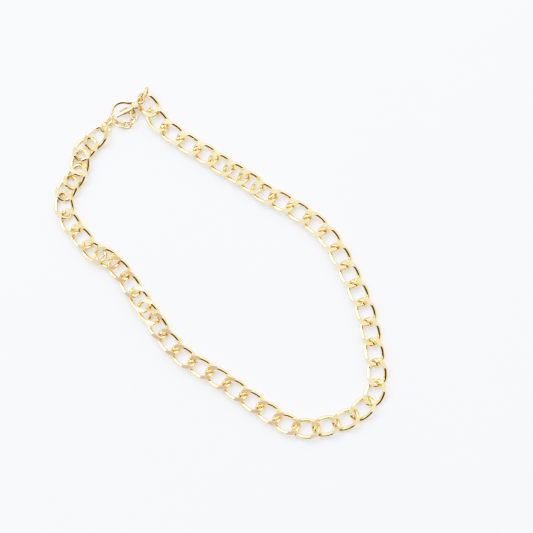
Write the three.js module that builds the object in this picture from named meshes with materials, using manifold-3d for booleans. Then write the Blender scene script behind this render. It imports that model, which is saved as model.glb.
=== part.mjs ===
// A chain necklace lying on a table: a curb chain, a lobster clasp and a short extender of small links.
// Millimetres, +Z up. X runs the long way of the loop, from the clasp end (-X) to the front (+X).
// The origin is the middle of the loop, on the table.
import * as THREE from "three";
import Module from "manifold-3d";
import { mergeVertices } from "three/addons/utils/BufferGeometryUtils.js";

const wasm = await Module();
wasm.setup();

const curb = {
  count: 48,
  pitch: 8.4, // spacing of two links pulled straight
  wire: 1.76, // wire diameter
  length: 12.2, // outside
  width: 8.76, // outside, before the twist
  squareness: 2.6, // 2 is an ellipse, more is boxier
  twist: 35, // degrees that each end is turned from the middle
  thickness: 3.3, // over the planed flats
  sides: 6,
  steps: 20,
};

const jumpRing = { across: 7.0, wire: 1.0, sides: 6, steps: 18 };
const endRing = { across: 5.4, wire: 0.95, sides: 6, steps: 18 };
const smallLink = { length: 4.6, width: 3.5, wire: 0.76, squareness: 2.2, sides: 5, steps: 14 };

const clasp = {
  eyeRadius: 1.25, // to the middle of the eye's wire
  eyeWire: 1.0,
  thickness: 2.2,
  bossRadius: 1.45, // round the rivet
  slot: 1.0, // the lever's slot in the body
  leverThickness: 0.7,
  leverRoot: 0.95, // radius round the rivet
  rivetRadius: 0.35,
  gap: 0.15, // running clearance
};

// The clasp's spring: it starts behind the lever's root and lies along the slot.
const spring = { from: 3.75, side: 0.12, length: 0.8, radius: 0.22, wire: 0.14, turns: 3 };

// The middle line of the main chain, from the link at the clasp round the front to the extender.
const route = [
  [-73.0, 24.1], [-65.7, 22.3], [-57.4, 22.9], [-49.3, 24.5], [-40.9, 26.7], [-33.4, 28.3],
  [-19.6, 31.7], [-12.5, 32.6], [-4.8, 35.3], [11.3, 38.7], [19.7, 38.7], [36.0, 34.4],
  [52.0, 28.2], [66.2, 19.1], [73.1, 14.0], [78.3, 7.7], [79.5, -0.4], [78.0, -8.4],
  [74.4, -15.9], [69.6, -22.5], [62.7, -27.0], [46.2, -30.9], [29.4, -34.2], [13.2, -38.5],
  [4.9, -38.7], [-3.1, -37.5], [-16.0, -35.3], [-31.3, -32.7], [-38.1, -32.8], [-43.9, -35.1],
  [-52.0, -34.7], [-59.7, -34.0], [-66.9, -31.1], [-71.4, -25.8], [-72.5, -19.9], [-75.1, -14.4],
  [-78.1, -9.2], [-78.5, -1.1],
];

// How far a link has slid back into the one before it, by link number.
const slidBack = {
  2: 0.9, 6: 0.7, 7: 1.1, 8: 1.4, 9: 1.3, 10: 0.3, 21: 0.2, 22: 0.3, 23: 0.3, 25: 0.2,
  34: 0.3, 35: 1.8, 36: 1.9, 37: 0.7, 38: 0.5, 39: 1.7, 40: 2.1, 41: 0.4, 42: 0.6, 43: 0.7,
  44: 1.2, 45: 2.5, 46: 2.2, 47: 2.5, 48: 0.2,
};

// Links that don't lie flat and square to the chain: [turn, tilt, roll] in degrees and the lift in mm.
const lean = {
  1: [10, 0, 0, 0],
  2: [-3, 0, 0, 0],
  34: [-9, 1, -2, 0.05],
  35: [5, -3, 14, 0.7],
  36: [1, -5, 9, 0.32],
  37: [-4, 0, 0, 0],
  39: [4, 0, 0, 0],
  40: [4, 0, 1, 0.06],
  44: [-10, 0, 0, 0],
  45: [-7, 1, -1, 0.05],
  46: [10, -1, -2, 0.22],
  47: [-9, -6, 14, 0.58],
  48: [2, 1, 2, 0.17],
};

// The extender's small links, bundled beside the clasp: [x, y, z, turn, tilt, roll].
const bundle = [
  [-80.0, 7.7, 1.15, 108, -10, -31],
  [-78.4, 8.9, 1.4, 10, -8, 46],
  [-75.65, 9.8, 1.25, 28, -2, -39],
  [-73.5, 11.6, 0.97, 58, 0, 26],
  [-73.0, 14.3, 1.3, 101, 0, -42],
  [-74.3, 16.7, 0.94, 143, -2, 24],
];

const rad = THREE.MathUtils.degToRad;
const necklace = new THREE.Group();

const platedGold = { color: 0xe9c878, roughness: 0.18, metalness: 1 };
const warmGold = { color: 0xd9a865, roughness: 0.22, metalness: 1 };
const springSteel = { color: 0xb9b4aa, roughness: 0.35, metalness: 1 };

function addPiece(name, geometry, finish) {
  const piece = new THREE.Mesh(geometry, new THREE.MeshStandardMaterial(finish));
  piece.name = name;
  necklace.add(piece);
  return piece;
}

// Lays a piece down: turn about Z, then tilt its front end up, then roll about its length.
function lay(piece, at, turn, tilt = 0, roll = 0) {
  piece.position.copy(at);
  piece.rotation.set(rad(roll), rad(-tilt), rad(turn), "ZYX");
}

// A point of an oval wire link at angle t, with its two ends turned opposite ways about its length.
function ovalPoint(t, halfLength, halfWidth, squareness, twist) {
  const c = Math.cos(t);
  const s = Math.sin(t);
  const power = 2 / squareness;
  const x = halfLength * Math.sign(c) * Math.abs(c) ** power;
  const y = halfWidth * Math.sign(s) * Math.abs(s) ** power;
  const turned = (-rad(twist) * x) / halfLength;
  return new THREE.Vector3(x, y * Math.cos(turned), y * Math.sin(turned));
}

// A closed wire: a torus whose circles are moved onto the curve centre(t), t from 0 to 2 pi.
function wireLoop(centre, wire, sides, steps, flatAt = Infinity) {
  const loop = new THREE.TorusGeometry(1, 0.5, sides, steps);
  const place = loop.attributes.position;
  const step = 1e-3;
  for (let i = 0; i < place.count; i++) {
    const round = loop.attributes.uv.getX(i) * 2 * Math.PI;
    const about = loop.attributes.uv.getY(i) * 2 * Math.PI;
    const at = centre(round);
    const along = centre(round + step).sub(centre(round - step)).normalize();
    const outward = at.clone().addScaledVector(along, -at.dot(along)).normalize();
    const up = along.clone().cross(outward);
    at.addScaledVector(outward, (Math.cos(about) * wire) / 2);
    at.addScaledVector(up, (-Math.sin(about) * wire) / 2);
    at.z = THREE.MathUtils.clamp(at.z, -flatAt, flatAt);
    place.setXYZ(i, at.x, at.y, at.z);
  }
  return loop;
}

// A solid bar along a curve: a cylinder whose rings are moved onto it. half(t) gives [across, upward].
function sweptBar(curve, half, sides, steps) {
  const bar = new THREE.CylinderGeometry(1, 1, 1, sides, steps);
  const place = bar.attributes.position;
  for (let i = 0; i < place.count; i++) {
    const t = THREE.MathUtils.clamp(0.5 - place.getY(i), 0, 1);
    const at = curve.getPoint(t);
    const along = curve.getTangent(t);
    const across = new THREE.Vector3(-along.y, along.x, 0).normalize();
    const [wide, high] = half(t);
    at.addScaledVector(across, place.getX(i) * wide);
    at.z += place.getZ(i) * high;
    place.setXYZ(i, at.x, at.y, at.z);
  }
  return bar;
}

function toSolid(geometry) {
  const bare = geometry.clone();
  bare.deleteAttribute("normal");
  bare.deleteAttribute("uv");
  const merged = mergeVertices(bare, 1e-4);
  const mesh = new wasm.Mesh({
    numProp: 3,
    vertProperties: new Float32Array(merged.attributes.position.array),
    triVerts: new Uint32Array(merged.index.array),
  });
  return new wasm.Manifold(mesh);
}

function toGeometry(solid) {
  const mesh = solid.getMesh();
  const geometry = new THREE.BufferGeometry();
  geometry.setAttribute("position", new THREE.BufferAttribute(mesh.vertProperties, 3));
  geometry.setIndex(new THREE.BufferAttribute(mesh.triVerts, 1));
  geometry.computeVertexNormals();
  return geometry;
}

// A cylinder standing along Z, from low to high.
function peg(radius, x, y, low, high, sides = 12) {
  const rod = new THREE.CylinderGeometry(radius, radius, high - low, sides);
  rod.rotateX(Math.PI / 2);
  rod.translate(x, y, (high + low) / 2);
  return toSolid(rod);
}

// --- the main chain ---

const halfLength = (curb.length - curb.wire) / 2;
const halfWidth = (curb.width - curb.wire) / 2;

function curbLink() {
  const centre = (t) => ovalPoint(t, halfLength, halfWidth, curb.squareness, curb.twist);
  return wireLoop(centre, curb.wire, curb.sides, curb.steps, curb.thickness / 2);
}

// Link centres, stepped along the route by the straight pitch less each link's slide.
function linkCentres() {
  const points = route.map(([x, y]) => new THREE.Vector3(x, y, curb.thickness / 2));
  const line = new THREE.CatmullRomCurve3(points, false, "centripetal").getSpacedPoints(4000);
  const centres = [line[0]];
  let from = 0;
  for (let n = 2; n <= curb.count; n++) {
    const reach = curb.pitch - (slidBack[n] ?? 0);
    while (from < line.length - 1 && line[from].distanceTo(centres.at(-1)) < reach) from++;
    centres.push(line[from]);
  }
  return centres;
}

const centres = linkCentres();
for (let n = 1; n <= curb.count; n++) {
  const before = centres[Math.max(n - 2, 0)];
  const after = centres[Math.min(n, curb.count - 1)];
  const heading = THREE.MathUtils.radToDeg(Math.atan2(after.y - before.y, after.x - before.x));
  const [turn, tilt, roll, lift] = lean[n] ?? [0, 0, 0, 0];
  const at = centres[n - 1].clone();
  at.z += lift;
  const link = addPiece("link_" + String(n).padStart(2, "0"), curbLink(), platedGold);
  lay(link, at, heading + turn, tilt, roll);
}

// --- rings and extender ---

function roundRing({ across, wire, sides, steps }) {
  const radius = (across - wire) / 2;
  return wireLoop((t) => ovalPoint(t, radius, radius, 2, 0), wire, sides, steps);
}

function smallOval() {
  const long = (smallLink.length - smallLink.wire) / 2;
  const wide = (smallLink.width - smallLink.wire) / 2;
  const centre = (t) => ovalPoint(t, long, wide, smallLink.squareness, 0);
  return wireLoop(centre, smallLink.wire, smallLink.sides, smallLink.steps);
}

// The jump ring stands on edge, through the clasp's eye and round one side of the first link.
const jumpRingPiece = addPiece("jump_ring", roundRing(jumpRing), warmGold);
lay(jumpRingPiece, new THREE.Vector3(-77.0, 26.05, 3.5), 107, 0, 90);

const endRingPiece = addPiece("end_ring", roundRing(endRing), platedGold);
lay(endRingPiece, new THREE.Vector3(-79.0, 4.8, 1.57), 113, -4, 29);

bundle.forEach(([x, y, z, turn, tilt, roll], i) => {
  const piece = addPiece("extender_link_" + (i + 1), smallOval(), platedGold);
  lay(piece, new THREE.Vector3(x, y, z), turn, tilt, roll);
});

// --- the clasp ---
// Drawn flat with its eye at the origin: X runs to the nose, and the lever is on the +Y side.

function flatCurve(points) {
  return new THREE.CatmullRomCurve3(points.map(([x, y]) => new THREE.Vector3(x, y, 0)));
}

const hookLine = flatCurve([
  [1.0, 0.0], [4.4, -1.3], [6.8, -2.8], [9.0, -3.3],
  [11.2, -2.7], [12.8, -1.3], [13.4, 0.3], [13.1, 1.3],
]);
const leverLine = flatCurve([[2.6, 1.2], [5.0, 1.5], [8.5, 1.45], [12.2, 1.6]]);
const pivot = [3.0, 0.9];

// Half the hook's width and height, from the thick base to the thin nose.
function hookHalf(t) {
  const taper = Math.max(1.35 - 2.2 * t + 1.6 * t * t, 0.62);
  const nose = 1 - 0.35 * THREE.MathUtils.smoothstep(t, 0.85, 1);
  return [taper * nose, Math.min(taper * nose * 1.1, clasp.thickness / 2)];
}

function claspBody() {
  const eye = new THREE.TorusGeometry(clasp.eyeRadius, clasp.eyeWire / 2, 8, 18);
  const hook = sweptBar(hookLine, hookHalf, 10, 22);
  const boss = peg(clasp.bossRadius, ...pivot, -clasp.thickness / 2, clasp.thickness / 2, 16);
  const slot = new THREE.BoxGeometry(5.0, 3.75, clasp.slot);
  slot.translate(4.4, 1.65, 0);
  const bore = peg(clasp.rivetRadius + clasp.gap, ...pivot, -clasp.thickness, clasp.thickness);
  const body = toSolid(eye).add(toSolid(hook)).add(boss);
  return toGeometry(body.subtract(toSolid(slot)).subtract(bore));
}

// The lever: a flat bar with a round root, a thumb tab and a tip that closes on the nose.
function claspLever() {
  const half = clasp.leverThickness / 2;
  const bar = sweptBar(leverLine, (t) => [0.62 - 0.2 * t, half], 8, 10);
  const tab = new THREE.BoxGeometry(1.3, 1.0, clasp.leverThickness);
  tab.translate(2.6, 2.2, 0);
  const root = peg(clasp.leverRoot, ...pivot, -half, half);
  const bore = peg(clasp.rivetRadius + clasp.gap, ...pivot, -clasp.thickness, clasp.thickness);
  return toGeometry(toSolid(bar).add(root).add(toSolid(tab)).subtract(bore));
}

// A small coil spring that pushes the lever shut, lying in the slot behind the lever.
function claspSpring() {
  const points = [];
  for (let i = 0; i <= spring.turns * 10; i++) {
    const angle = (i / 10) * 2 * Math.PI;
    const along = spring.from + (spring.length * i) / (spring.turns * 10);
    const side = spring.side + spring.radius * Math.sin(angle);
    points.push(new THREE.Vector3(along, side, spring.radius * Math.cos(angle)));
  }
  const extrudePath = new THREE.CatmullRomCurve3(points);
  const wire = new THREE.Shape().absarc(0, 0, spring.wire / 2, 0, 2 * Math.PI);
  return new THREE.ExtrudeGeometry(wire, { extrudePath, steps: spring.turns * 12, curveSegments: 3 });
}

const claspPlace = new THREE.Group();
claspPlace.position.set(-76.1, 23.0, 3.75);
claspPlace.rotation.z = rad(-107.8);
necklace.add(claspPlace);

claspPlace.add(addPiece("clasp_body", claspBody(), warmGold));
claspPlace.add(addPiece("clasp_lever", claspLever(), warmGold));
const rivet = new THREE.CylinderGeometry(clasp.rivetRadius, clasp.rivetRadius, clasp.thickness, 12);
rivet.rotateX(Math.PI / 2);
rivet.translate(...pivot, 0);
claspPlace.add(addPiece("clasp_rivet", rivet, warmGold));
claspPlace.add(addPiece("clasp_spring", claspSpring(), springSteel));

export default necklace;
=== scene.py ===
import math

import bmesh
import bpy
import numpy as np
from mathutils import Matrix, Vector


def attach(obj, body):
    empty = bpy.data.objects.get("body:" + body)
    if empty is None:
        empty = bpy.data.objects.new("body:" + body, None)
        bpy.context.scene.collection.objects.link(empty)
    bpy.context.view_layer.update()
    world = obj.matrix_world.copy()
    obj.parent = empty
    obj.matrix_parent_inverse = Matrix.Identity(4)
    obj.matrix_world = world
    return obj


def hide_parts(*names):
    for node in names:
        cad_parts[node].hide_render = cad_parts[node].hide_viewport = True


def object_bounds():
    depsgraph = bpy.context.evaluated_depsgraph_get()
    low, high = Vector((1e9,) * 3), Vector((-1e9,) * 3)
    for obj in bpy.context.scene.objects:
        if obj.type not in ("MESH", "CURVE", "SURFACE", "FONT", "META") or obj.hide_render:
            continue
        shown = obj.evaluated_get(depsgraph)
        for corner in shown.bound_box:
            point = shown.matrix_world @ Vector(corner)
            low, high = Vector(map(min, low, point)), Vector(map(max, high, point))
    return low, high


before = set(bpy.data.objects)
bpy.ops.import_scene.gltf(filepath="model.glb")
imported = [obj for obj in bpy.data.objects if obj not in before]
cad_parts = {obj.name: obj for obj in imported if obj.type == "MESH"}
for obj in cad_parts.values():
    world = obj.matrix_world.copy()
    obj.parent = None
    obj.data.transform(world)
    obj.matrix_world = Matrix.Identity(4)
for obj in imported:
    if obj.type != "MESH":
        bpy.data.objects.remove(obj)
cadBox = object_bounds()
mm = 0.001
scene = bpy.context.scene
print("frame loaded:", len(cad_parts), "parts")


# --- shader groups ---

def newGroup(name, inputs, outputs):
    group = bpy.data.node_groups.new(name, "ShaderNodeTree")
    for label, kind, value in inputs:
        socket = group.interface.new_socket(name=label, in_out="INPUT", socket_type=kind)
        if value is not None:
            socket.default_value = value
    for label, kind in outputs:
        group.interface.new_socket(name=label, in_out="OUTPUT", socket_type=kind)
    start = group.nodes.new("NodeGroupInput")
    end = group.nodes.new("NodeGroupOutput")
    return group, start, end


def addNode(tree, kind, values=None, **settings):
    node = tree.nodes.new(kind)
    for key, value in settings.items():
        setattr(node, key, value)
    for key, value in (values or {}).items():
        node.inputs[key].default_value = value
    return node


def mathNode(tree, operation, a, b=None, clamp=False):
    node = addNode(tree, "ShaderNodeMath", operation=operation, use_clamp=clamp)
    for index, value in enumerate((a, b)):
        if value is None:
            continue
        if isinstance(value, (int, float)):
            node.inputs[index].default_value = value
        else:
            tree.links.new(value, node.inputs[index])
    return node.outputs[0]


def mixColours(tree, factor, a, b):
    node = addNode(tree, "ShaderNodeMix", data_type="RGBA")
    for socket, value in ((node.inputs[0], factor), (node.inputs[6], a), (node.inputs[7], b)):
        if isinstance(value, (int, float, tuple)):
            socket.default_value = value
        else:
            tree.links.new(value, socket)
    return node.outputs[2]


def mapRange(tree, value, low, high, toLow=0.0, toHigh=1.0):
    node = addNode(tree, "ShaderNodeMapRange", {1: low, 2: high, 3: toLow, 4: toHigh})
    node.interpolation_type = "SMOOTHSTEP"
    tree.links.new(value, node.inputs[0])
    return node.outputs[0]


def buildPlatingTone():
    # Slow drift of the plating between a paler and a deeper gold, with a finer cloud over it.
    group, start, end = newGroup(
        "platingTone",
        [("Coords", "NodeSocketVector", None), ("Pale", "NodeSocketColor", None),
         ("Deep", "NodeSocketColor", None), ("Scale", "NodeSocketFloat", 260.0)],
        [("Colour", "NodeSocketColor"), ("Cloud", "NodeSocketFloat")])
    link = group.links.new
    broad = addNode(group, "ShaderNodeTexNoise", {"Detail": 3.0, "Roughness": 0.55})
    link(start.outputs["Coords"], broad.inputs["Vector"])
    link(start.outputs["Scale"], broad.inputs["Scale"])
    fine = addNode(group, "ShaderNodeTexNoise", {"Detail": 4.0, "Roughness": 0.6})
    link(start.outputs["Coords"], fine.inputs["Vector"])
    link(mathNode(group, "MULTIPLY", start.outputs["Scale"], 7.0), fine.inputs["Scale"])
    both = mathNode(group, "ADD", mathNode(group, "MULTIPLY", broad.outputs["Fac"], 0.7),
                    mathNode(group, "MULTIPLY", fine.outputs["Fac"], 0.3))
    cloud = mapRange(group, both, 0.38, 0.62)
    link(mixColours(group, cloud, start.outputs["Pale"], start.outputs["Deep"]), end.inputs["Colour"])
    link(cloud, end.inputs["Cloud"])
    return group


def buildFineScratches():
    # Hairline marks in two crossing directions, thin and mostly sparse, with a height for the bump.
    group, start, end = newGroup(
        "fineScratches",
        [("Coords", "NodeSocketVector", None), ("Width", "NodeSocketFloat", 9000.0),
         ("Stretch", "NodeSocketFloat", 0.03), ("Amount", "NodeSocketFloat", 0.5)],
        [("Mask", "NodeSocketFloat"), ("Height", "NodeSocketFloat")])
    link = group.links.new
    layers = []
    for turn in ((0.2, 0.1, 0.5), (-0.3, 0.25, 1.9), (0.5, -0.4, 2.7)):
        mapping = addNode(group, "ShaderNodeMapping", {"Rotation": turn})
        link(start.outputs["Coords"], mapping.inputs["Vector"])
        squeeze = addNode(group, "ShaderNodeCombineXYZ", {"Y": 1.0, "Z": 1.0})
        link(start.outputs["Stretch"], squeeze.inputs["X"])
        stretched = addNode(group, "ShaderNodeVectorMath", operation="MULTIPLY")
        link(mapping.outputs[0], stretched.inputs[0])
        link(squeeze.outputs[0], stretched.inputs[1])
        lines = addNode(group, "ShaderNodeTexNoise", {"Detail": 1.0, "Roughness": 0.4})
        link(stretched.outputs[0], lines.inputs["Vector"])
        link(start.outputs["Width"], lines.inputs["Scale"])
        layers.append(mapRange(group, lines.outputs["Fac"], 0.66, 0.72))
    total = mathNode(group, "MAXIMUM", mathNode(group, "MAXIMUM", layers[0], layers[1]), layers[2])
    patches = addNode(group, "ShaderNodeTexNoise", {"Scale": 420.0, "Detail": 2.0})
    link(start.outputs["Coords"], patches.inputs["Vector"])
    where = mapRange(group, patches.outputs["Fac"], 0.42, 0.6)
    mask = mathNode(group, "MULTIPLY", mathNode(group, "MULTIPLY", total, where),
                    start.outputs["Amount"], clamp=True)
    link(mask, end.inputs["Mask"])
    link(mathNode(group, "MULTIPLY", mask, -1.0), end.inputs["Height"])
    return group


def buildPolishRipple():
    # The soft unevenness that tumbling and polishing leave in a bright surface.
    group, start, end = newGroup(
        "polishRipple",
        [("Coords", "NodeSocketVector", None), ("Scale", "NodeSocketFloat", 700.0)],
        [("Height", "NodeSocketFloat")])
    link = group.links.new
    ripple = addNode(group, "ShaderNodeTexNoise", {"Detail": 1.5, "Roughness": 0.45})
    link(start.outputs["Coords"], ripple.inputs["Vector"])
    link(start.outputs["Scale"], ripple.inputs["Scale"])
    pits = addNode(group, "ShaderNodeTexVoronoi", {"Scale": 2600.0, "Randomness": 1.0})
    link(start.outputs["Coords"], pits.inputs["Vector"])
    rare = mapRange(group, pits.outputs["Color"], 0.72, 0.76)
    pit = mathNode(group, "MULTIPLY", rare, mapRange(group, pits.outputs["Distance"], 0.0, 0.1, -0.3, 0.0))
    link(mathNode(group, "ADD", ripple.outputs["Fac"], pit), end.inputs["Height"])
    return group


def buildPlaningLines():
    # Straight tool lines across a planed facet, uneven in depth.
    group, start, end = newGroup(
        "planingLines",
        [("Coords", "NodeSocketVector", None), ("Scale", "NodeSocketFloat", 7000.0),
         ("Turn", "NodeSocketFloat", 0.6)],
        [("Height", "NodeSocketFloat")])
    link = group.links.new
    turn = addNode(group, "ShaderNodeVectorRotate", rotation_type="Z_AXIS")
    link(start.outputs["Coords"], turn.inputs["Vector"])
    link(start.outputs["Turn"], turn.inputs["Angle"])
    squeeze = addNode(group, "ShaderNodeVectorMath", operation="MULTIPLY")
    squeeze.inputs[1].default_value = (0.02, 1.0, 0.02)
    link(turn.outputs[0], squeeze.inputs[0])
    lines = addNode(group, "ShaderNodeTexNoise", {"Detail": 2.0, "Roughness": 0.7})
    link(squeeze.outputs[0], lines.inputs["Vector"])
    link(start.outputs["Scale"], lines.inputs["Scale"])
    link(lines.outputs["Fac"], end.inputs["Height"])
    return group


platingTone = buildPlatingTone()
fineScratches = buildFineScratches()
polishRipple = buildPolishRipple()
planingLines = buildPlaningLines()


# --- materials ---

def useGroup(tree, group, coords, values=None):
    node = addNode(tree, "ShaderNodeGroup", node_tree=group)
    tree.links.new(coords, node.inputs["Coords"])
    for key, value in (values or {}).items():
        node.inputs[key].default_value = value
    return node


def readMark(tree, name):
    mark = addNode(tree, "ShaderNodeAttribute", attribute_type="GEOMETRY", attribute_name=name)
    return mark.outputs["Fac"]


def platedMetal(name, look):
    material = bpy.data.materials.new(name)
    material.use_nodes = True
    tree = material.node_tree
    link = tree.links.new
    shader = tree.nodes["Principled BSDF"]
    shader.inputs["Metallic"].default_value = 1.0
    shader.inputs["Coat Weight"].default_value = look["lacquer"]
    shader.inputs["Coat Roughness"].default_value = look["lacquerRoughness"]
    coords = addNode(tree, "ShaderNodeTexCoord").outputs["Object"]

    tone = useGroup(tree, platingTone, coords, {"Pale": look["pale"], "Deep": look["deep"],
                                                "Scale": look["toneScale"]})
    scratches = useGroup(tree, fineScratches, coords, {"Amount": look["scratches"]})
    ripple = useGroup(tree, polishRipple, coords, {"Scale": look["rippleScale"]})
    planing = useGroup(tree, planingLines, coords)
    planed, rubbed = readMark(tree, "planed"), readMark(tree, "rubbed")

    # Rubbed places and scratches are paler and duller than the rest.
    colour = mixColours(tree, mathNode(tree, "MULTIPLY", rubbed, 0.6), tone.outputs["Colour"], look["worn"])
    scuffed = mathNode(tree, "MULTIPLY", scratches.outputs["Mask"], 0.35)
    colour = mixColours(tree, scuffed, colour, look["worn"])
    link(colour, shader.inputs["Base Color"])

    base = mapRange(tree, tone.outputs["Cloud"], 0.0, 1.0, look["roughness"] * 0.8, look["roughness"] * 1.3)
    rough = mathNode(tree, "ADD", base, mathNode(tree, "MULTIPLY", scratches.outputs["Mask"], 0.22))
    rough = mathNode(tree, "ADD", rough, mathNode(tree, "MULTIPLY", rubbed, 0.12))
    rough = mathNode(tree, "ADD", rough, mathNode(tree, "MULTIPLY", planed, look["planedRoughness"]))
    link(rough, shader.inputs["Roughness"])

    height = mathNode(tree, "ADD", mathNode(tree, "MULTIPLY", ripple.outputs["Height"], look["ripple"]),
                      mathNode(tree, "MULTIPLY", scratches.outputs["Height"], 0.12))
    lines = mathNode(tree, "MULTIPLY", mathNode(tree, "MULTIPLY", planing.outputs["Height"], planed), 0.10)
    bump = addNode(tree, "ShaderNodeBump", {"Strength": 1.0, "Distance": look["bumpDepth"]})
    link(mathNode(tree, "ADD", height, lines), bump.inputs["Height"])
    link(bump.outputs["Normal"], shader.inputs["Normal"])
    return material


chainLook = {
    "pale": (0.97, 0.785, 0.45, 1), "deep": (0.93, 0.71, 0.35, 1), "worn": (0.98, 0.86, 0.62, 1),
    "toneScale": 240.0, "roughness": 0.045, "planedRoughness": 0.04, "scratches": 0.4,
    "ripple": 1.0, "rippleScale": 520.0, "bumpDepth": 0.000012,
    "lacquer": 0.15, "lacquerRoughness": 0.06,
}
claspLook = {**chainLook, "pale": (0.94, 0.69, 0.38, 1), "deep": (0.88, 0.57, 0.28, 1),
             "roughness": 0.09, "rippleScale": 420.0, "scratches": 0.7}
fineLook = {**chainLook, "roughness": 0.08, "rippleScale": 900.0, "toneScale": 420.0}
springLook = {**chainLook, "pale": (0.62, 0.60, 0.57, 1), "deep": (0.52, 0.50, 0.47, 1),
              "worn": (0.72, 0.70, 0.68, 1), "roughness": 0.28, "lacquer": 0.0}

chainGold = platedMetal("curbChainGold", chainLook)
fineGold = platedMetal("fineLinkGold", fineLook)
claspGold = platedMetal("claspGold", claspLook)
springSteel = platedMetal("springWire", springLook)
print("materials made")


# --- mesh tools ---

seamSharpness = 0.42  # of the groove at a butt seam, as a share of its width


def smoothstep(low, high, value):
    share = np.clip((value - low) / (high - low), 0, 1)
    return share * share * (3 - 2 * share)


def ovalPoint(t, halfLength, halfWidth, squareness, twist):
    c, s = np.cos(t), np.sin(t)
    power = 2 / squareness
    x = halfLength * np.sign(c) * np.abs(c) ** power
    y = halfWidth * np.sign(s) * np.abs(s) ** power
    turned = -np.radians(twist) * x / halfLength
    return np.stack([x, y * np.cos(turned), y * np.sin(turned)], axis=-1)


def evenLoop(shape, steps, seamAt=None, seamWidth=0.0):
    # Points spaced evenly round a closed line, packed closer at the seam.
    dense = ovalPoint(np.linspace(0, 2 * np.pi, 6001), *shape)
    lengths = np.concatenate([[0], np.cumsum(np.linalg.norm(np.diff(dense, axis=0), axis=1))])
    whole = lengths[-1]
    stops = np.arange(steps) * whole / steps
    if seamAt is not None:
        near = np.abs(stops - seamAt * whole) > seamWidth * 1.6
        apart = np.array([0.2, 0.45, 0.7, 1, 1.5])
        extra = seamAt * whole + seamWidth * np.concatenate([-apart, [0], apart])
        stops = np.sort(np.concatenate([stops[near], extra]))
    points = np.stack([np.interp(stops, lengths, dense[:, k]) for k in range(3)], axis=-1)
    away = np.inf if seamAt is None else (stops - seamAt * whole) / seamWidth
    return points, away


def wireRing(points, radius, sides):
    # A tube round a closed line of points, each ring square to the line.
    along = np.roll(points, -1, axis=0) - np.roll(points, 1, axis=0)
    along /= np.linalg.norm(along, axis=1, keepdims=True)
    outward = points - along * np.sum(points * along, axis=1, keepdims=True)
    outward /= np.linalg.norm(outward, axis=1, keepdims=True)
    up = np.cross(along, outward)
    angle = np.arange(sides) * 2 * np.pi / sides
    radius = np.broadcast_to(radius, len(points))[:, None, None]
    rings = (points[:, None] + radius * (np.cos(angle)[None, :, None] * outward[:, None]
                                         + np.sin(angle)[None, :, None] * up[:, None]))
    count = len(points)
    faces = []
    for i in range(count):
        j = (i + 1) % count
        for k in range(sides):
            n = (k + 1) % sides
            faces.append((i * sides + k, j * sides + k, j * sides + n, i * sides + n))
    return rings.reshape(-1, 3), faces, np.tile(-np.cos(angle), count)


def newMesh(verts, faces):
    bm = bmesh.new()
    made = [bm.verts.new(v) for v in verts]
    for face in faces:
        bm.faces.new([made[i] for i in face])
    return bm


def wireLoop(look, shape):
    # A closed loop of wire with its butt seam, marked where its neighbours rub on the inside of its ends.
    points, away = evenLoop(shape, look["steps"], look["seamAt"], look["seamWidth"])
    radius = look["wire"] / 2 - look["seamDepth"] * np.exp(-(away / seamSharpness) ** 2)
    verts, faces, inward = wireRing(points, radius, look["sides"])
    bm = newMesh(verts, faces)
    rubbed = bm.verts.layers.float.new("rubbed")
    ends = np.repeat(smoothstep(*look["rubbedEnds"], np.abs(points[:, 0]) / shape[0]), look["sides"])
    for vert, amount in zip(bm.verts, ends * smoothstep(*look["rubbedInside"], inward)):
        vert[rubbed] = amount
    return bm


def toMesh(bm, name, place, material):
    # The piece goes into the row frame, its mesh in place and its object at the origin.
    bm.transform(place @ Matrix.Diagonal((mm, mm, mm, 1)))
    bmesh.ops.recalc_face_normals(bm, faces=bm.faces)
    mesh = bpy.data.meshes.new(name)
    bm.to_mesh(mesh)
    bm.free()
    mesh.materials.append(material)
    piece = bpy.data.objects.new(name, mesh)
    scene.collection.objects.link(piece)
    return piece


def skinOf(node):
    # A loaded part's triangles, their areas (times two) and the centre of its skin.
    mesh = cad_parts[node].data
    mesh.calc_loop_triangles()
    places = np.zeros(len(mesh.vertices) * 3)
    mesh.vertices.foreach_get("co", places)
    corners = np.zeros(len(mesh.loop_triangles) * 3, np.int32)
    mesh.loop_triangles.foreach_get("vertices", corners)
    triangles = places.reshape(-1, 3)[corners.reshape(-1, 3)]
    sides = triangles[:, 1] - triangles[:, 0], triangles[:, 2] - triangles[:, 0]
    areas = np.linalg.norm(np.cross(*sides), axis=1)
    centre = (triangles.mean(axis=1) * areas[:, None]).sum(axis=0) / areas.sum()
    return triangles, areas, centre


def placeOf(node, facing):
    # Where a looped part lies: its own long way, across and upright axes, from how its skin is spread.
    triangles, areas, centre = skinOf(node)
    corners, middles = triangles - centre, triangles.mean(axis=1) - centre
    spread = np.einsum("t,tij,tik->jk", areas, corners, corners)
    spread += 9 * np.einsum("t,ti,tj->ij", areas, middles, middles)
    values, axes = np.linalg.eigh(spread)
    upright, longWay = axes[:, 0], axes[:, 2]
    if values[2] < 1.02 * values[1]:  # a round ring has no long way, so it faces where it is told
        longWay = np.array(facing) - upright * np.dot(facing, upright)
        longWay /= np.linalg.norm(longWay)
    if upright[2] < 0:
        upright = -upright
    if np.dot(longWay, facing) < 0:
        longWay = -longWay
    across = np.cross(upright, longWay)
    place = Matrix.Identity(4)
    for row in range(3):
        place[row][:] = (longWay[row], across[row], upright[row], centre[row])
    return place


def smoothShaded(piece):
    # Smooth all over, except on planed flats.
    planed = piece.data.attributes.get("planed")
    for i, polygon in enumerate(piece.data.polygons):
        polygon.use_smooth = planed is None or planed.data[i].value < 0.9


def finishPiece(piece, body, nodes):
    smoothShaded(piece)
    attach(piece, body)
    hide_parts(*nodes)


# --- the curb chain ---

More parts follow.
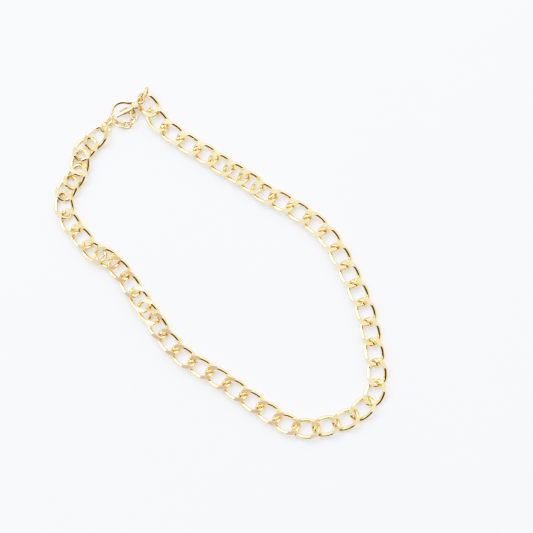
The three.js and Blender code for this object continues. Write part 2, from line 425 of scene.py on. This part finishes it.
curb = {
    "count": 48,
    "wire": 1.76,
    "length": 12.2,
    "width": 8.76,
    "squareness": 2.6,
    "twist": 35,
    "thickness": 3.3,  # over the planed flats
    "sides": 36,
    "steps": 132,
    "rim": 0.11,  # width of the softened edge round a planed flat
    "seamAt": 0.965,  # share of the way round the loop
    "seamWidth": 0.16,
    "seamDepth": 0.09,
    "rubbedEnds": (0.72, 0.98),
    "rubbedInside": (0.1, 0.9),
}


def curbLink(look):
    bm = wireLoop(look, ((look["length"] - look["wire"]) / 2, (look["width"] - look["wire"]) / 2,
                         look["squareness"], look["twist"]))
    planeFlats(bm, look["thickness"] / 2, look["rim"])
    return bm


def planeFlats(bm, half, rim):
    # Cuts the flats off above and below, closes them, and softens their edges.
    planed = bm.faces.layers.float.new("planed")
    for side in (1, -1):
        cut = bmesh.ops.bisect_plane(bm, geom=bm.verts[:] + bm.edges[:] + bm.faces[:], dist=1e-4,
                                     plane_co=(0, 0, side * half), plane_no=(0, 0, side), clear_outer=True)
        rimEdges = [e for e in cut["geom_cut"] if isinstance(e, bmesh.types.BMEdge)]
        filled = bmesh.ops.holes_fill(bm, edges=rimEdges, sides=0)["faces"]
        for face in filled:
            face[planed] = 1
    flats = {f for f in bm.faces if f[planed] > 0.5}
    edges = [e for e in bm.edges if len(e.link_faces) == 2 and len(flats & set(e.link_faces)) == 1]
    made = bmesh.ops.bevel(bm, geom=edges, offset=rim, segments=2, profile=0.6, affect="EDGES",
                           clamp_overlap=True)
    for face in made["faces"]:
        if abs(face.normal.z) < 0.9999:
            face[planed] = 0.5


centres = {n: skinOf(f"link_{n:02d}")[2] for n in range(1, curb["count"] + 1)}
seamTurned = {36}  # this one lies the other way round, with its seam in sight
for n in range(1, curb["count"] + 1):
    name = f"link_{n:02d}"
    ahead = centres[min(n + 1, curb["count"])] - centres[max(n - 1, 1)]
    if n in seamTurned:
        ahead = -ahead
    curbPiece = toMesh(curbLink(curb), f"curbLink{n:02d}", placeOf(name, ahead), chainGold)
    finishPiece(curbPiece, name, [name])
print("curb chain made")


# --- rings and extender ---

fineRubbing = {"rubbedEnds": (0.75, 1.0), "rubbedInside": (0.2, 1.0)}
jumpRing = {**fineRubbing, "across": 7.0, "wire": 1.0, "sides": 28, "steps": 120, "seamAt": 0.06,
            "seamWidth": 0.14, "seamDepth": 0.16}
endRing = {**fineRubbing, "across": 5.4, "wire": 0.95, "sides": 28, "steps": 110, "seamAt": 0.42,
           "seamWidth": 0.12, "seamDepth": 0.14}
smallLink = {**fineRubbing, "length": 4.6, "width": 3.5, "wire": 0.76, "squareness": 2.2, "sides": 24,
             "steps": 84, "seamAt": 0.27, "seamWidth": 0.09, "seamDepth": 0.09}


def roundWireLoop(look):
    length = look.get("length", look.get("across"))
    width = look.get("width", length)
    return wireLoop(look, ((length - look["wire"]) / 2, (width - look["wire"]) / 2,
                           look.get("squareness", 2), 0))


ring = toMesh(roundWireLoop(jumpRing), "jumpRing", placeOf("jump_ring", (0, 0, 1)), claspGold)
finishPiece(ring, "jump_ring", ["jump_ring"])
ring = toMesh(roundWireLoop(endRing), "endRing", placeOf("end_ring", (1, 0, 0)), fineGold)
finishPiece(ring, "end_ring", ["end_ring"])
for k in range(1, 7):
    name = f"extender_link_{k}"
    small = toMesh(roundWireLoop(smallLink), f"extenderLink{k}", placeOf(name, (0.3, 1, 0)), fineGold)
    finishPiece(small, name, [name])

# The extender's last two links hang from its sixth: [x, y, z, turn, tilt, roll].
tail = [(-76.8, 16.9, 1.29, -156, 2, -39), (-78.3, 14.9, 1.0, -111, 3, 28)]
for k, (x, y, z, turn, tilt, roll) in enumerate(tail, 7):
    turned = (Matrix.Rotation(math.radians(turn), 4, "Z") @ Matrix.Rotation(math.radians(-tilt), 4, "Y")
              @ Matrix.Rotation(math.radians(roll), 4, "X"))
    small = toMesh(roundWireLoop(smallLink), f"extenderLink{k}",
                   Matrix.Translation((x * mm, y * mm, z * mm)) @ turned, fineGold)
    smoothShaded(small)
    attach(small, "extender_link_6")
print("rings and extender made")


# --- the clasp ---
# Drawn flat with its eye at the origin: X runs to the nose, and the lever is on the +Y side.

clasp = {
    "at": (-76.1, 23.0, 3.75),
    "turn": -107.8,
    "eyeRadius": 1.25,
    "eyeWire": 1.0,
    "thickness": 2.2,
    "pivot": (3.0, 0.9),
    "bossRadius": 1.42,
    "slot": 1.0,
    "slotFrom": (1.9, -0.225),
    "slotTo": (6.9, 3.525),
    "rounding": 0.22,
    "hook": [(1.0, 0.0), (4.4, -1.3), (6.8, -2.8), (9.0, -3.3), (11.2, -2.7), (12.8, -1.3), (13.4, 0.3),
             (13.1, 1.3)],
    "voxel": 0.11,
    "lever": [(2.6, 1.2), (5.0, 1.5), (8.5, 1.45), (12.2, 1.6)],
    "leverThickness": 0.7,
    "leverRoot": 0.95,
    "thumbFrom": (1.98, 1.7),
    "thumbTo": (3.22, 2.68),
    "rivetRadius": 0.35,
    "rivetDome": 0.05,
}

claspPlace = (Matrix.Translation(Vector(clasp["at"]) * mm)
              @ Matrix.Rotation(math.radians(clasp["turn"]), 4, "Z"))


def smoothLine(points, steps):
    # A centripetal Catmull-Rom line through flat points, evenly stepped.
    pts = [Vector((*p, 0)) if len(p) == 2 else Vector(p) for p in points]
    pts = [pts[0] * 2 - pts[1]] + pts + [pts[-1] * 2 - pts[-2]]
    dense = []
    for a, b, c, d in zip(pts, pts[1:], pts[2:], pts[3:]):
        knots = [0.0]
        for one, other in ((a, b), (b, c), (c, d)):
            knots.append(knots[-1] + max((other - one).length, 1e-6) ** 0.5)
        for i in range(60):
            t = knots[1] + (knots[2] - knots[1]) * i / 60
            first = [p.lerp(q, (t - knots[i0]) / (knots[i0 + 1] - knots[i0]))
                     for i0, (p, q) in enumerate(((a, b), (b, c), (c, d)))]
            second = [first[i0].lerp(first[i0 + 1], (t - knots[i0]) / (knots[i0 + 2] - knots[i0]))
                      for i0 in range(2)]
            dense.append(second[0].lerp(second[1], (t - knots[1]) / (knots[2] - knots[1])))
    dense.append(pts[-2])
    dense = np.array([tuple(p) for p in dense])
    lengths = np.concatenate([[0], np.cumsum(np.linalg.norm(np.diff(dense, axis=0), axis=1))])
    stops = np.linspace(0, lengths[-1], steps)
    return np.stack([np.interp(stops, lengths, dense[:, k]) for k in range(3)], axis=-1)


def skinRings(bm, rings):
    # Closes a run of rings into one skin with two flat ends.
    for one, other in zip(rings, rings[1:]):
        for k in range(len(one)):
            n = (k + 1) % len(one)
            bm.faces.new((one[k], other[k], other[n], one[n]))
    bm.faces.new(rings[0])
    bm.faces.new(list(reversed(rings[-1])))


def sweptBar(bm, points, half, sides, boxiness):
    # A bar along a flat line. half(t) gives its half width and height; its ends are rounded off.
    along = np.gradient(points, axis=0)
    along /= np.linalg.norm(along, axis=1, keepdims=True)
    lengths = np.concatenate([[0], np.cumsum(np.linalg.norm(np.diff(points, axis=0), axis=1))])
    rings = []
    for i, (at, way) in enumerate(zip(points, along)):
        wide, high = half(lengths[i] / lengths[-1])
        cap = max(wide / 2, 1e-4)
        nearest = min(lengths[i], lengths[-1] - lengths[i]) / cap
        shrink = math.sqrt(max(1 - (1 - min(nearest, 1)) ** 2, 0.0004))
        across = Vector((-way[1], way[0], 0)).normalized()
        ring = []
        for k in range(sides):
            angle = 2 * math.pi * k / sides
            c, s = math.cos(angle), math.sin(angle)
            out = math.copysign(abs(c) ** (2 / boxiness), c) * wide * shrink
            up = math.copysign(abs(s) ** (2 / boxiness), s) * high * (0.35 + 0.65 * shrink)
            ring.append(bm.verts.new(Vector(at) + across * out + Vector((0, 0, up))))
        rings.append(ring)
    skinRings(bm, rings)


def turnedDisc(bm, x, y, profile, sides=40):
    # A round boss or pin about a line along Z: profile is (radius, height) from low to high.
    rings = []
    for radius, height in profile:
        rings.append([bm.verts.new((x + radius * math.cos(2 * math.pi * k / sides),
                                    y + radius * math.sin(2 * math.pi * k / sides), height))
                      for k in range(sides)])
    for one, other in zip(rings, rings[1:]):
        for k in range(sides):
            n = (k + 1) % sides
            bm.faces.new((one[k], one[n], other[n], other[k]))
    bm.faces.new(list(reversed(rings[0])))
    bm.faces.new(rings[-1])


def workPiece(bm, name):
    bmesh.ops.recalc_face_normals(bm, faces=bm.faces)
    mesh = bpy.data.meshes.new(name)
    bm.to_mesh(mesh)
    bm.free()
    piece = bpy.data.objects.new(name, mesh)
    scene.collection.objects.link(piece)
    return piece


def applied(piece):
    # The mesh with its modifiers in, and the working object gone.
    graph = bpy.context.evaluated_depsgraph_get()
    mesh = bpy.data.meshes.new_from_object(piece.evaluated_get(graph))
    bm = bmesh.new()
    bm.from_mesh(mesh)
    bpy.data.objects.remove(piece)
    bpy.data.meshes.remove(mesh)
    return bm


def cutAway(piece, tool):
    cut = piece.modifiers.new("cut", "BOOLEAN")
    cut.operation = "DIFFERENCE"
    cut.solver = "EXACT"
    cut.object = tool
    bm = applied(piece)
    bpy.data.objects.remove(tool)
    return bm


def blockMesh(low, high, rounding=0.0):
    bm = bmesh.new()
    bmesh.ops.create_cube(bm, size=1)
    for vert in bm.verts:
        for k in range(3):
            vert.co[k] = low[k] if vert.co[k] < 0 else high[k]
    if rounding:
        bmesh.ops.bevel(bm, geom=bm.edges[:], offset=rounding, segments=4, profile=0.5, affect="EDGES")
    return bm


def hookHalf(t):
    # Half the hook's width and height, from its thick back to its thin nose.
    taper = max(1.35 - 2.2 * t + 1.6 * t * t, 0.62)
    nose = 1 - 0.30 * float(smoothstep(0.85, 1, t))
    return max(taper, 1.12 - 0.6 * t) * nose, min(taper * nose * 1.12, clasp["thickness"] / 2)


def castBody(look):
    # Eye, hook and boss are run together as one casting, then the lever's slot is cut in.
    eye = evenLoop((look["eyeRadius"], look["eyeRadius"], 2, 0), 60)[0]
    verts, faces, _ = wireRing(eye, look["eyeWire"] / 2, 24)
    bm = newMesh(verts, faces)
    sweptBar(bm, smoothLine(look["hook"], 90), hookHalf, 32, boxiness=2.3)
    thick, boss, rounding = look["thickness"] / 2, look["bossRadius"], look["rounding"]
    turnedDisc(bm, *look["pivot"], [(boss - rounding, -thick), (boss, -thick + rounding),
                                    (boss, thick - rounding), (boss - rounding, thick)])
    piece = workPiece(bm, "claspCasting")
    joined = piece.modifiers.new("joined", "REMESH")
    joined.mode = "VOXEL"
    joined.voxel_size = look["voxel"]
    bm = applied(piece)
    for _ in range(5):
        bmesh.ops.smooth_vert(bm, verts=bm.verts, factor=0.5,
                              use_axis_x=True, use_axis_y=True, use_axis_z=True)
    for vert in bm.verts:  # smoothing draws the casting in a little
        vert.co += vert.normal * 0.02
        vert.co.z = min(max(vert.co.z, -thick), thick)
    piece = workPiece(bm, "claspCasting")
    slot = blockMesh((*look["slotFrom"], -look["slot"] / 2), (*look["slotTo"], look["slot"] / 2))
    return cutAway(piece, workPiece(slot, "leverSlot"))


def leverMesh(look):
    half = look["leverThickness"] / 2
    bm = bmesh.new()

    def halfSize(t):
        # Narrow at the root, where the spring sits, then broad, then narrower towards the tip.
        return 0.60 + 0.34 * float(smoothstep(0.22, 0.45, t)) - 0.42 * t, half

    sweptBar(bm, smoothLine(look["lever"], 60), halfSize, 28, boxiness=3.2)
    root, edge = look["leverRoot"], 0.08
    turnedDisc(bm, *look["pivot"], [(root - edge, -half), (root, -half + edge),
                                    (root, half - edge), (root - edge, half)])
    piece = workPiece(bm, "leverBar")
    thumb = workPiece(blockMesh((*look["thumbFrom"], -half), (*look["thumbTo"], half), 0.2), "thumbTab")
    union = piece.modifiers.new("thumb", "BOOLEAN")
    union.operation = "UNION"
    union.solver = "EXACT"
    union.use_self = True
    union.object = thumb
    bm = applied(piece)
    bpy.data.objects.remove(thumb)
    return bm


coil = {"from": 3.75, "side": 0.12, "length": 0.8, "radius": 0.22, "wire": 0.14, "turns": 3, "steps": 96,
        "sides": 10}


def springMesh(look):
    # A fine coil lying in the slot behind the lever's root.
    share = np.linspace(0, 1, look["steps"])
    angle = share * look["turns"] * 2 * math.pi
    points = np.stack([look["from"] + look["length"] * share, look["side"] + look["radius"] * np.sin(angle),
                       look["radius"] * np.cos(angle)], axis=-1)
    bm = bmesh.new()
    along = np.gradient(points, axis=0)
    along /= np.linalg.norm(along, axis=1, keepdims=True)
    rings = []
    for at, way in zip(points, along):
        side = Vector(way).cross(Vector((1, 0, 0))).normalized()
        up = Vector(way).cross(side)
        rings.append([bm.verts.new(Vector(at) + look["wire"] / 2 * (side * math.cos(a) + up * math.sin(a)))
                      for a in (2 * math.pi * k / look["sides"] for k in range(look["sides"]))])
    skinRings(bm, rings)
    return bm


def creaseSharpEdges(piece, angle=40):
    bm = bmesh.new()
    bm.from_mesh(piece.data)
    for edge in bm.edges:
        if len(edge.link_faces) == 2 and edge.calc_face_angle(0) > math.radians(angle):
            edge.smooth = False
    bm.to_mesh(piece.data)
    bm.free()


body = toMesh(castBody(clasp), "claspBody", claspPlace, claspGold)
finishPiece(body, "clasp", ["clasp_body"])
creaseSharpEdges(body)
lever = toMesh(leverMesh(clasp), "claspLever", claspPlace, claspGold)
finishPiece(lever, "lever", ["clasp_lever"])
creaseSharpEdges(lever)

rivetMesh = bmesh.new()
top, radius, dome = clasp["thickness"] / 2, clasp["rivetRadius"], clasp["rivetDome"]
shoulder = dome * 0.6
halfProfile = [(radius, top - shoulder), (radius * 0.75, top + shoulder), (radius * 0.3, top + dome)]
turnedDisc(rivetMesh, *clasp["pivot"], [(wide, -high) for wide, high in reversed(halfProfile)] + halfProfile)
rivet = toMesh(rivetMesh, "claspRivet", claspPlace, claspGold)
finishPiece(rivet, "clasp", ["clasp_rivet"])
spring = toMesh(springMesh(coil), "claspSpring", claspPlace, springSteel)
finishPiece(spring, "clasp", ["clasp_spring"])
print("clasp made")


# --- floor, light and camera ---

def tableMaterial():
    material = bpy.data.materials.new("paleTable")
    material.use_nodes = True
    tree = material.node_tree
    shader = tree.nodes["Principled BSDF"]
    shader.inputs["Roughness"].default_value = 0.6
    shader.inputs["Specular IOR Level"].default_value = 0.2
    # The table glows a little on its own: painted light that keeps its shadows pale.
    shader.inputs["Emission Color"].default_value = (1, 1, 1, 1)
    shader.inputs["Emission Strength"].default_value = room["tableGlow"]
    coords = addNode(tree, "ShaderNodeTexCoord").outputs["Object"]
    grain = addNode(tree, "ShaderNodeTexNoise", {"Scale": 9.0, "Detail": 3.0})
    tree.links.new(coords, grain.inputs["Vector"])
    cloud = mapRange(tree, grain.outputs["Fac"], 0.3, 0.7)
    tree.links.new(mixColours(tree, cloud, room["table"], room["tableShade"]), shader.inputs["Base Color"])
    return material


room = {
    "table": (0.69, 0.684, 0.665, 1),
    "tableShade": (0.678, 0.672, 0.655, 1),
    "tableGlow": 0.34,  # painted light: the table glows a little on its own, which keeps its shadows pale
    "walls": (0.86, 0.86, 0.90, 1),  # near the horizon
    "ceiling": (1.20, 1.28, 1.50, 1),
    "skylight": (2.2, 2.35, 2.75, 1),  # the bright half of the ceiling
    "overhead": (0.80, 0.74, 0.92, 1),  # the shaded patch right over the table
    "overheadAt": (-0.15, -0.05),
    "overheadSize": 0.17,
    "darkSide": (0.10, 0.075, 0.075, 1),  # beyond the view's lower edge
    "darkFoot": (0.26, 0.20, 0.19, 1),
    "darkWidth": 0.30,
    "darkSpread": 0.62,
    "darkLean": 0.16,
    "rightWay": (0.6988, 0.7153),  # the view's right and up, on the table
    "upWay": (-0.7153, 0.6988),
    "strength": 0.96,
}

floorMesh = bmesh.new()
bmesh.ops.create_grid(floorMesh, x_segments=8, y_segments=8, size=3000)
floorPlace = Matrix.Translation((0, 0, min(c[2] for c in cadBox)))
floor = toMesh(floorMesh, "paleTable", floorPlace, tableMaterial())


def buildRoomLight(look):
    # A bright room over the table: half its ceiling lit, one side dark, and a shaded patch overhead.
    world = bpy.data.worlds.new("room")
    scene.world = world
    world.use_nodes = True
    tree = world.node_tree
    background = tree.nodes["Background"]
    way = addNode(tree, "ShaderNodeTexCoord").outputs["Generated"]
    split = addNode(tree, "ShaderNodeSeparateXYZ")
    tree.links.new(way, split.inputs[0])
    height = split.outputs["Z"]

    def share(direction):
        return mathNode(tree, "ADD", mathNode(tree, "MULTIPLY", split.outputs["X"], direction[0]),
                        mathNode(tree, "MULTIPLY", split.outputs["Y"], direction[1]))

    rightward, upward = share(look["rightWay"]), share(look["upWay"])
    bright = mixColours(tree, mapRange(tree, height, 0.1, 0.7), look["walls"], look["ceiling"])

    lit = mathNode(tree, "MULTIPLY", mapRange(tree, upward, 0.08, 0.34), mapRange(tree, height, 0.22, 0.48))
    bright = mixColours(tree, lit, bright, look["skylight"])

    down = mathNode(tree, "MULTIPLY", upward, -1.0)
    offside = mathNode(tree, "ABSOLUTE", mathNode(tree, "SUBTRACT", rightward,
                       mathNode(tree, "MULTIPLY", down, look["darkLean"])))
    reach = mathNode(tree, "ADD", mathNode(tree, "MULTIPLY", down, look["darkSpread"]), look["darkWidth"])
    inside = mapRange(tree, mathNode(tree, "SUBTRACT", reach, offside), -0.04, 0.06)
    below = mapRange(tree, down, 0.10, 0.30)
    shade = mixColours(tree, mapRange(tree, height, 0.25, 0.02), look["darkSide"], look["darkFoot"])
    colour = mixColours(tree, mathNode(tree, "MULTIPLY", inside, below), bright, shade)

    aside = [mathNode(tree, "SUBTRACT", value, centre)
             for value, centre in zip((rightward, upward), look["overheadAt"])]
    far = mathNode(tree, "SQRT", mathNode(tree, "ADD", mathNode(tree, "MULTIPLY", aside[0], aside[0]),
                                          mathNode(tree, "MULTIPLY", aside[1], aside[1])))
    above = mathNode(tree, "GREATER_THAN", height, 0.0)
    size = look["overheadSize"]
    patch = mathNode(tree, "MULTIPLY", above, mapRange(tree, far, size, size * 0.6))
    colour = mixColours(tree, patch, colour, look["overhead"])
    tree.links.new(colour, background.inputs["Color"])
    background.inputs["Strength"].default_value = look["strength"]


window = {
    "azimuth": 118,  # on the table: 0 is the view's right, 90 its top
    "elevation": 45,
    "distance": 1.6,
    "size": (1.5, 0.45),
    "power": 14.0,
}


def softLight(name, look):
    light = bpy.data.lights.new(name, "AREA")
    light.shape = "RECTANGLE"
    light.size, light.size_y = look["size"]
    light.energy = look["power"]
    lamp = bpy.data.objects.new(name, light)
    scene.collection.objects.link(lamp)
    azimuth, elevation = math.radians(look["azimuth"]), math.radians(look["elevation"])
    right, up = Vector((*room["rightWay"], 0)), Vector((*room["upWay"], 0))
    flat = right * math.cos(azimuth) + up * math.sin(azimuth)
    way = flat * math.cos(elevation) + Vector((0, 0, math.sin(elevation)))
    lamp.location = way * look["distance"]
    lamp.rotation_euler = way.to_track_quat("Z", "Y").to_euler()


softLight("windowLight", window)
buildRoomLight(room)

view = {"from": (55.0, 18.5, 519.7), "to": (10.2, 12.0, 0.0), "up": (-0.7153, 0.6988, 0.0), "lens": 85}
lens = bpy.data.cameras.new("camera")
lens.lens = view["lens"]
lens.sensor_width = 36
lens.clip_start = 0.01
camera = bpy.data.objects.new("camera", lens)
scene.collection.objects.link(camera)
away = (Vector(view["from"]) - Vector(view["to"])).normalized()
right = Vector(view["up"]).cross(away).normalized()
upward = away.cross(right)
pose = Matrix.Identity(4)
for row in range(3):
    pose[row][:] = (right[row], upward[row], away[row], view["from"][row] * mm)
camera.matrix_world = pose
scene.camera = camera

# Brights roll off gently: light level, then how it is shown.
tone = {"white": 1.9, "steps": ((0.2, 0.16), (0.5, 0.46), (0.9, 0.80), (1.3, 0.93))}
scene.view_settings.view_transform = "Standard"
scene.view_settings.use_curve_mapping = True
rollOff = scene.view_settings.curve_mapping
rollOff.white_level = [tone["white"]] * 3
for level, shown in tone["steps"]:
    rollOff.curves[3].points.new(level / tone["white"], shown)
rollOff.update()
print("room and camera made")
